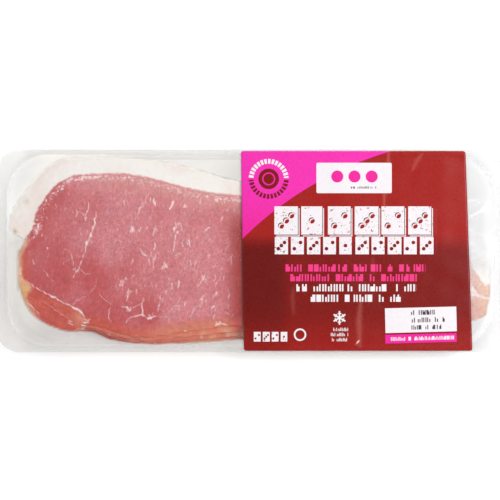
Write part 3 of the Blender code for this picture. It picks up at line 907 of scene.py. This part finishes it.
filmLook = Look(
    thickness=0.10 * mm,
    step=1.05 * mm,
    corner=13 * mm,
    sink=0.30 * mm,  # how far the film is drawn down into the free space round the slices
    ripple=0.05 * mm,
    alphaCling=0.015,  # where the film lies on wet meat
    alphaFree=0.30,
    alphaCrease=0.5,
    bloom=0.42,  # how much thicker the white haze is close to the slices at the left end, painting light into their shadow
    near=(216, 213, 210),  # the free film's tint is painted light and shade: greyer towards the near side, paler at the left end, and changed again at the far rim, the far lip and the right end
    far=(250, 246, 242),
    farLip=(224, 219, 216),
    farRim=(249, 244, 237),
    leftEnd=(232, 230, 226),
    leftFar=(249, 248, 246),
    rightEnd=(226, 226, 227),
    rightNear=(246, 246, 246),
)

# Creases: width and height in mm, and then x and y in mm of each corner of the route.
creases = strokesOf((
    (1.1, 0.42, 120, 18.8, 124, 20.6, 127.4, 23, 130.2, 27), (0.9, 0.2, 119, 27.6, 122.6, 27.8, 126.6, 25.6),
    (1, 0.24, 123.6, 9.4, 125.5, 8.9, 127.5, 10), (1, 0.2, 120.2, 0.4, 121.4, -0.4, 123, -0.2),
    (1.6, 0.1, -128, 40, -121.5, 43.5, -113, 47.5), (1.4, 0.08, -131, 28, -129.5, 34, -127, 39),
    (1.8, 0.08, -126.5, -30, -122, -38, -115, -44),
))

# Soft folds in the label, as the same kind of rows.
labelFolds = strokesOf((
    (7, 0.22, 49, 54, 51.5, 20, 53, -15, 51, -54), (6, -0.16, 71, 54, 70, 10, 72.5, -54),
    (9, 0.12, 8, 54, 11, 0, 6, -54), (8, 0.14, 104, 54, 106, -10, 108, -54),
))


def cavityGap(x, y):
    # Distance from a spot to the cavity's edge, in metres, positive inside: the rounded rectangle's distance.
    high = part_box("tray")[1]
    ends, sides = trayLook.cavityInset
    radius = trayLook.cavityCorner
    overX = np.abs(x) - (high.x - ends - radius)
    overY = np.abs(y) - (high.y - sides - radius)
    outside = np.hypot(np.maximum(overX, 0), np.maximum(overY, 0))
    return radius - outside - np.minimum(np.maximum(overX, overY), 0)


def spotsOf(x, y):
    # Two grids in metres as rows of x and y in mm.
    return np.stack([x.ravel(), y.ravel()], -1) / mm


def stackCover(x, y):
    # How far a spot lies inside the stack's outline, in mm, negative outside: the most over several slices.
    spots = spotsOf(x, y)
    deepest = np.full(len(spots), -99.0)
    for number in (1, 3, 5, rasherLook.count):
        fat, lean = halfRims(number)
        lean[:, 1] -= nearStep(lean[:, 0], lean[:, 1], number)
        distance, _, side = nearPath(spots, np.vstack([lean, fat[::-1]])[::6] / mm)
        deepest = np.maximum(deepest, side * distance)
    return deepest.reshape(x.shape)


def filmRelief(x, y, look):
    # Height of the film over its CAD level: drawn down beside the slices, rippled, and raised along creases
    # and folds. Creases fade at both ends; the folds, which are wider than 5 mm, don't.
    inside = smooth(cavityGap(x, y), -0.2 * mm, 2 * mm)
    drop = look.sink * inside * smooth(-stackCover(x, y), -0.5, 6)
    ripple = look.ripple * inside * waves(x, y, 16 * mm, 61)
    spots = spotsOf(x, y)
    ridge = np.zeros(len(spots))
    for path, width, height in creases + labelFolds:
        distance, place, _ = nearPath(spots, path)
        fade = 1 if width > 5 else np.sin(np.clip(place / reachOf(path)[-1], 0.02, 0.98) * math.pi)
        ridge += height * mm * fade * np.exp(-(distance / width) ** 2)
    return ripple - drop + ridge.reshape(x.shape) * inside


def roundedSide(low, high, corner, steps, bends):
    # Positions along one side of a sheet, closer together round its corners, and how far the sheet's edge
    # curves in at each of them: a quarter circle.
    edge = corner * (1 - np.cos(np.linspace(0, math.pi / 2, bends)))[:-1]
    middle = np.linspace(low + corner, high - corner, steps)
    spots = np.concatenate([low + edge, middle, (high - edge)[::-1]])
    over = np.clip(np.abs(spots) - (high - corner), 0, corner)
    return spots, corner - np.sqrt(corner ** 2 - over ** 2)


def buildFilm(finish, look):
    # A sheet on a grid: each column's half width follows the pack's rounded ends. The haze is thick over free
    # space, thickest close to the slices at the left end, where it paints light into their shadow, and where
    # the film is taut over the right end; the crease value is 0 to 1 along the sharper creases, where the film
    # turns whitish, partly as a painted glint.
    low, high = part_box("film")
    columns = int((high.x - low.x) / look.step)
    rows = int((high.y - low.y) / look.step)
    x, cut = roundedSide(low.x, high.x, look.corner, columns - 24, 10)
    x, y = np.meshgrid(x, np.linspace(-1, 1, rows))
    y = y * (high.y - cut)
    points = np.stack([x, y, high.z + filmRelief(x, y, look)], -1).reshape(-1, 3)
    atEnd = 1.8 * smooth(x, 112 * mm, 117 * mm) * smooth(y, -20 * mm, 6 * mm)
    gap = -stackCover(x, y)
    haze = np.maximum(smooth(gap, -1, 0.2), atEnd)
    # Thicker haze close to the slices at the left end, painting light into their shadow
    haze *= 1 + look.bloom * smooth(gap, 10, 1) * smooth(x, -92 * mm, -110 * mm)
    haze *= smooth(cavityGap(x, y), -0.8 * mm, 0.6 * mm)
    sharp = [(route, 0.75 * width, min(1, 2.4 * height)) for route, width, height in creases]
    tints = {"crease": strokeField(spotsOf(x, y), sharp), "haze": haze}
    piece = addPiece("lidFilm", points, gridFaces(*x.shape), finish, tints)
    thicken(piece, look.thickness)
    settle(piece, "lid_film", "film")


def makeFilm(look):
    # Clear film: the haze sets how little is seen through it, the free film's tint is painted light and shade
    # that changes towards the far side and both ends, and the creases are white, partly a painted glint.
    finish, place, crease, haze = newFinish("clearFilm", "crease", "haze")
    hue = tones(look)
    shade, height = grain(place, 90, 0.05)
    x, y, _ = axes(place)
    # Painted light and shade in the free film's tint
    tint = mix(calc("MAXIMUM", ramp(y, -50 * mm, 48 * mm), ramp(x, 0.09, 0.12)), hue.near, hue.far)
    leftward = ramp(x, -0.108, -0.124) * ramp(y, -50 * mm, -38 * mm)
    tint = mix(leftward, tint, mix(ramp(y, 2 * mm, 24 * mm), hue.leftEnd, hue.leftFar))
    tint = mix(ramp(y, 49.2 * mm, 51 * mm), tint, hue.farRim)
    lip = ramp(y, 49.2 * mm, 50.6 * mm) * ramp(y, 53.9 * mm, 52.7 * mm) * ramp(x, -86 * mm, -58 * mm)
    tint = mix(lip, tint, hue.farLip)
    tint = mix(ramp(x, 0.112, 0.118), tint, mix(ramp(y, -22 * mm, -8 * mm), hue.rightNear, hue.rightEnd))
    # Creases white: partly the film's own whitening, partly a painted glint
    tint = mix(crease, tint, tone(255, 255, 255))
    free = ramp(haze, 0, 2, look.alphaCling, 2 * look.alphaFree)
    feed(finish, BaseColor=shaded(tint, shade), Alpha=calc("MAXIMUM", free, crease * look.alphaCrease),
         Roughness=ramp(height, 0.3, 0.7, 0.06, 0.12), Normal=bump(noise(place, 70), 0.15 * mm, 0.3),
         IOR=1.52, CoatWeight=0.8, CoatRoughness=0.04)
    return finish


buildFilm(makeFilm(filmLook), filmLook)
print("film made")


# Label

labelLook = Look(
    thickness=0.10 * mm,
    step=1 * mm,
    corner=1.4 * mm,
    gain=0.66,
    red=(169, 28, 22),
    midRed=(133, 16, 10),
    deepRed=(111, 8, 4),
    pink=(248, 40, 164),
    palePink=(252, 52, 184),
    white=(252, 246, 250),
    rose=(255, 62, 140),
    ink=(78, 66, 70),
    sheen=(214, 120, 108),
)

# Painted soft streaks of gloss along the label's folds, and one painted glint: width in mm, strength, and then
# x and y in mm.
labelStreaks = strokesOf((
    (2.2, 0.42, 75.8, 55, 75.2, 44, 73.6, 36, 73, 24), (2.4, 0.3, 94, 53, 91, 49, 88.6, 44),
    (3, 0.34, 60.6, -26, 59.4, -38, 60, -52), (2.4, 0.22, 23.6, -20, 23.2, -26, 23.8, -34),
    (3, 0.18, 67, -4, 67.4, -12), (1.1, 1, 57.8, -51.2, 58.8, -49.8, 59.8, -48.2),
))


def labelEdges():
    # The label's two slanted ends as straight lines: x at the near long side and at the far long side.
    points = nodePoints("label")
    far, near = points[points[:, 1] > 0], points[points[:, 1] < 0]
    return (near[:, 0].min(), far[:, 0].min()), (near[:, 0].max(), far[:, 0].max())


def buildLabel(finish, look):
    # A sheet on a grid, row by row between its two slanted ends, which curve in at the rounded corners.
    low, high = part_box("label")
    left, right = labelEdges()
    rows = int((high.y - low.y) / look.step)
    columns = int((high.x - low.x) / look.step)
    y, cut = roundedSide(low.y, high.y, look.corner, rows, 6)
    across = (y - low.y) / (high.y - low.y)
    startX = left[0] + (left[1] - left[0]) * across + cut
    endX = right[0] + (right[1] - right[0]) * across - cut
    x = np.linspace(startX, endX, columns, axis=1)
    y = np.broadcast_to(y[:, None], x.shape)
    points = np.stack([x, y, high.z + filmRelief(x, y, filmLook)], -1).reshape(-1, 3)
    sheen = strokeField(points[:, :2] / mm, labelStreaks)
    piece = addPiece("packLabel", points, gridFaces(*x.shape), finish, {"sheen": sheen})
    thicken(piece, look.thickness)
    settle(piece, "label_print", "label")


def makeBoxGroup():
    # Mask of a box with rounded corners: 1 inside, 0 outside, from the distance to its outline. All in mm.
    numbers = ("HalfX", "HalfY", "Round")
    group, given, result = newGroup("printBox", numbers, ("Mask",), ("Place", "Centre"))
    place, centre, halfX, halfY, rounding = given
    x, y, _ = axes(put("VectorMath", {0: place, 1: centre}, operation="SUBTRACT")[0])
    overX, overY = abs(x) - (halfX - rounding), abs(y) - (halfY - rounding)
    corner = hypotenuse(calc("MAXIMUM", overX, 0), calc("MAXIMUM", overY, 0))
    inner = calc("MINIMUM", calc("MAXIMUM", overX, overY), 0)
    group.links.new(ramp(corner + inner - rounding, -0.06, 0.06, 1, 0).socket, result["Mask"])
    return group


def makeRowGroup():
    # Row of blocks: each cell is filled up to a share drawn from its own number, and has one, two or three
    # round holes along its diagonal, as on a die.
    numbers = ("Pitch", "Fill", "Seed", "Start", "Middle")
    group, (place, pitch, fill, seed, start, middle), result = newGroup("printRow", numbers, ("Mask",))
    x, y, _ = axes(place)
    cells = (x - start) / pitch
    number, within = calc("FLOOR", cells), calc("FRACT", cells)
    draw = randomOf(number + seed)
    fill = fill * (draw * 0.12 + 0.88)
    sideways, above = (within - fill * 0.5) * pitch, y - middle
    diagonal = abs((sideways + above) * math.sqrt(0.5))
    aside = (sideways - above) * math.sqrt(0.5)
    outer = abs(diagonal - pitch * 0.27)
    nearest = mix(draw > 0.3, diagonal, outer)
    nearest = mix(draw > 0.62, nearest, calc("MINIMUM", diagonal, outer))
    hole = hypotenuse(nearest, aside) < pitch * 0.115
    group.links.new(((within < fill) * (1 - hole)).socket, result["Mask"])
    return group


def makeTextGroup():
    # Row of upright bars that stand for fine print: three to a cell, some left out, some cut short, and now
    # and then an empty cell.
    numbers = ("Pitch", "Seed", "Start", "Foot", "Height")
    group, (place, pitch, seed, start, foot, height), result = newGroup("printText", numbers, ("Mask",))
    x, y, _ = axes(place)
    cells = (x - start) / pitch
    number, column = calc("FLOOR", cells), calc("FLOOR", calc("FRACT", cells) * 3.6)
    bit = randomOf(number * 7 + column + seed)
    present = bit > calc("COMPARE", column, 1, 0.1) * 0.5 + 0.08
    top = (calc("FRACT", bit * 9) > 0.3) * 0.34 + 0.68
    kept = (randomOf(number + seed) > 0.12) * (column < 2.5)
    group.links.new((present * ((y - foot) / height < top) * kept).socket, result["Mask"])
    return group


def printTools(place, spot):
    # Functions that make the masks of printed shapes, all in mm; home is the frame that a shape lies in.
    boxGroup, rowGroup, textGroup = makeBoxGroup(), makeRowGroup(), makeTextGroup()
    wear = ramp(noise(place, 700, 4, 0.75), 0.36, 0.40)
    spotX, spotY, _ = axes(spot)

    def box(x, y, width, height, rounding=0.3, home=spot):
        inputs = {"Place": home, "Centre": (x, y, 0), "HalfX": width / 2, "HalfY": height / 2,
                  "Round": rounding}
        return put("Group", inputs, node_tree=boxGroup)[0]

    def row(x, y, width, height, pitch, fill, seed):
        inputs = {"Place": spot, "Pitch": pitch, "Fill": fill, "Seed": seed, "Start": x - width / 2,
                  "Middle": y}
        return box(x, y, width, height, 0.1) * put("Group", inputs, node_tree=rowGroup)[0] * wear

    def text(x, y, width, height, pitch, seed, home=spot):
        inputs = {"Place": home, "Pitch": pitch, "Seed": seed, "Start": x - width / 2, "Foot": y - height / 2,
                  "Height": height}
        return box(x, y, width, height, 0.1, home) * put("Group", inputs, node_tree=textGroup)[0]

    def disc(x, y, radius):
        return box(x, y, 2 * radius, 2 * radius, radius)

    def ring(x, y, radius, width):
        return disc(x, y, radius) - disc(x, y, radius - width)

    def dashedRing(x, y, radius, width, count, half):
        # The ring's upper (+1) or lower (-1) half, cut into dashes by the angle round its centre.
        dx, dy = spotX - x, spotY - y
        dash = calc("FRACT", calc("ARCTAN2", dy, dx) * (count / (2 * math.pi))) < 0.68
        return ring(x, y, radius, width) * dash * (dy * half > 0.5)

    def star(x, y, reach):
        # Three crossed bars through one centre, each a thin box in a frame turned by a sixth of a turn.
        off = put("VectorMath", {0: spot, 1: (x, y, 0)}, operation="SUBTRACT")[0]
        bars = []
        for sixths in range(3):
            turned = stretched(off, turn=sixths * math.pi / 3)
            bars.append(box(0, 0, 0.85, 2 * reach, 0.2, turned))
            bars += [box(0, side * 0.62 * reach, 1.9, 0.7, 0.2, turned) for side in (1, -1)]
        return bars

    return Look(box=box, row=row, text=text, disc=disc, ring=ring, dashedRing=dashedRing, star=star)


def labelShapes(tool, tilted):
    # The print as plain shapes in the order they are laid down: colour name, then masks. All in mm.
    box, row, text, disc, ring = tool.box, tool.row, tool.text, tool.disc, tool.ring
    return (
        ("white", (tool.dashedRing(10.2, 39.3, 10.9, 2.6, 30, 1), box(56.8, 39.8, 41.1, 16.6, 0.9))),
        ("midRed", (tool.dashedRing(10.2, 39.3, 10.9, 2.6, 30, -1), disc(10.2, 39.3, 5.6))),
        ("pink", (ring(10.2, 39.3, 3.6, 0.8), disc(47.6, 40.6, 3.3), disc(57, 40.6, 3.3),
                  disc(66.4, 40.6, 3.3))),
        ("ink", (text(62, 34.6, 14, 1.2, 1.2, 2),)),
        ("white", (row(58, 15.6, 87.6, 15.4, 14.6, 0.90, 3),)),
        ("deepRed", (row(57.5, 16.1, 87.6, 15.4, 14.6, 0.90, 3),)),
        ("white", (row(57.1, 16.6, 87.6, 15.4, 14.6, 0.90, 3), row(57.5, 2.9, 88, 9.5, 8.8, 0.86, 8))),
        ("rose", (text(57.5, -9.3, 76.3, 3.9, 3.1, 1), text(56.8, -14.6, 69.7, 3.9, 3.1, 5))),
        ("white", (text(57.9, -20.1, 65.2, 3.9, 3.1, 2), text(57.9, -25.8, 49.6, 3.9, 3.1, 7))),
        ("white", (row(11.8, -46.8, 19.5, 5.3, 4.9, 0.82, 9), ring(27.3, -45.7, 3.4, 0.9))),
        ("white", tool.star(48.8, -36.5, 3.7)),
        ("white", (text(48.8, -42.8, 9.4, 1.8, 1.3, 4), text(48.8, -45.6, 9.4, 1.8, 1.3, 6),
                   text(48.8, -48.4, 8.2, 1.8, 1.3, 11))),
        ("white", (box(92.2, -40, 38.9, 13.5, 0.1, tilted),)),
        ("pink", (box(92, -50.1, 38.9, 4.8, 0.1, tilted),)),
        ("white", (text(92, -50.1, 36, 2, 1.6, 12, tilted),)),
        ("ink", (text(93.4, -36, 13, 2.6, 2.1, 3, tilted), text(96.2, -40.1, 18, 2.6, 2.1, 13, tilted),
                 text(95.1, -44.1, 16.3, 2.4, 1.9, 15, tilted))),
    )


def makeLabel(look):
    # Print in layers: the red ground, darker across its lower middle and, as painted shade, darker still at
    # its lower left end; the corner cut off by a wide arc, and the shapes in their order.
    finish, place, sheen = newFinish("labelPrint", "sheen")
    hue = tones(look)
    spot = put("VectorMath", {0: place, 1: (1000, 1000, 0)}, operation="MULTIPLY")[0]
    x, y, _ = axes(spot)
    # Red ground darker across its lower middle; its lower left end darker still as painted shade
    fall = ramp(y, 10, -1)
    paint = mix(fall * ramp(y, -54, -30, 0.25, 1), hue.red, hue.midRed)
    paint = mix(ramp(x, 24, 14) * ramp(y, -54, -20, 0.3, 1) * fall, paint, hue.deepRed)
    corner = mix(ramp(y, 8, 36), hue.pink, hue.palePink)
    paint = mix(ramp(hypotenuse(x - 131.1, y + 130.2), 192.3, 192.5), paint, corner)
    for name, masks in labelShapes(printTools(place, spot), stretched(spot, turn=math.radians(-1.5))):
        for mask in masks:
            paint = mix(mask, paint, hue[name])
    # Painted gloss streaks along the folds, and the painted glint in white
    paint = mix(ramp(sheen, 0, 0.5, 0, 0.4), paint, hue.sheen, "LIGHTEN")
    paint = mix(ramp(sheen, 0.6, 0.9), paint, hue.white)
    shade, height = grain(place, 900, 0.22)
    feed(finish, BaseColor=shaded(paint, shade), Roughness=ramp(height, 0.3, 0.7, 0.24, 0.36),
         Normal=bump(noise(place, 120, 3), 0.10 * mm, 0.2), SpecularIORLevel=0.22)
    return finish


buildLabel(makeLabel(labelLook), labelLook)
print("label made")


# Stage, lights and camera

stageLook = Look(
    floor=(250, 250, 250),
    floorShade=(246, 246, 246),
    floorSize=6,
    sky=1.08,
    zenith=0.25,
    key=3.78,
    strip=0.10,
    lens=150,
    sensor=36,
    viewWidth=0.27275,
    aim=(0, 0.5 * mm),
)


def buildFloor(look):
    # A wide flat square at the level the pack rests on, with a barely uneven pale coat.
    side = np.linspace(-look.floorSize / 2, look.floorSize / 2, 9)
    x, y = np.meshgrid(side, side)
    points = np.stack([x, y, np.full_like(x, cadLow.z - 0.05 * mm)], -1).reshape(-1, 3)
    finish, place = newFinish("floorPaint")
    hue = tones(look)
    coat = mix(noise(place, 3), hue.floor, hue.floorShade)
    feed(finish, BaseColor=coat, Roughness=0.9, SpecularIORLevel=0.1)
    floor = addPiece("paleFloor", points, gridFaces(9, 9), finish)


def addLamp(name, place, size, power):
    # Rectangular lamp that faces the pack.
    lamp = bpy.data.lights.new(name, "AREA")
    lamp.shape = "RECTANGLE"
    lamp.size, lamp.size_y = size
    lamp.energy = power
    holder = bpy.data.objects.new(name, lamp)
    holder.location = place
    holder.rotation_mode = "QUATERNION"
    holder.rotation_quaternion = holder.location.to_track_quat("Z", "Y")
    bpy.context.scene.collection.objects.link(holder)


def setStage(look):
    # An even white sky, dimmer straight above so that the film mirrors little of it, two lamps, and a long
    # lens that looks straight down.
    world = bpy.data.worlds.new("studio")
    world.use_nodes = True
    tree = world.node_tree
    upward = axes(coordinates(tree, "Generated"))[2]
    glow = tree.nodes["Background"].inputs
    tree.links.new(ramp(upward, 0.90, 0.97, look.sky, look.zenith).socket, glow["Strength"])
    glow["Color"].default_value = (1, 1, 1, 1)
    bpy.context.scene.world = world
    addLamp("keyLamp", (0.46, 0.10, 0.64), (0.36, 0.36), look.key)
    addLamp("stripLamp", (0.13, 0, 1), (0.03, 0.5), look.strip)
    lens = bpy.data.cameras.new("camera")
    lens.lens, lens.sensor_width = look.lens, look.sensor
    camera = bpy.data.objects.new("camera", lens)
    camera.location = (*look.aim, cadHigh.z + look.viewWidth * look.lens / look.sensor)
    bpy.context.scene.collection.objects.link(camera)
    bpy.context.scene.camera = camera
    bpy.context.scene.view_settings.view_transform = "Standard"


buildFloor(stageLook)
setStage(stageLook)
print("stage set")
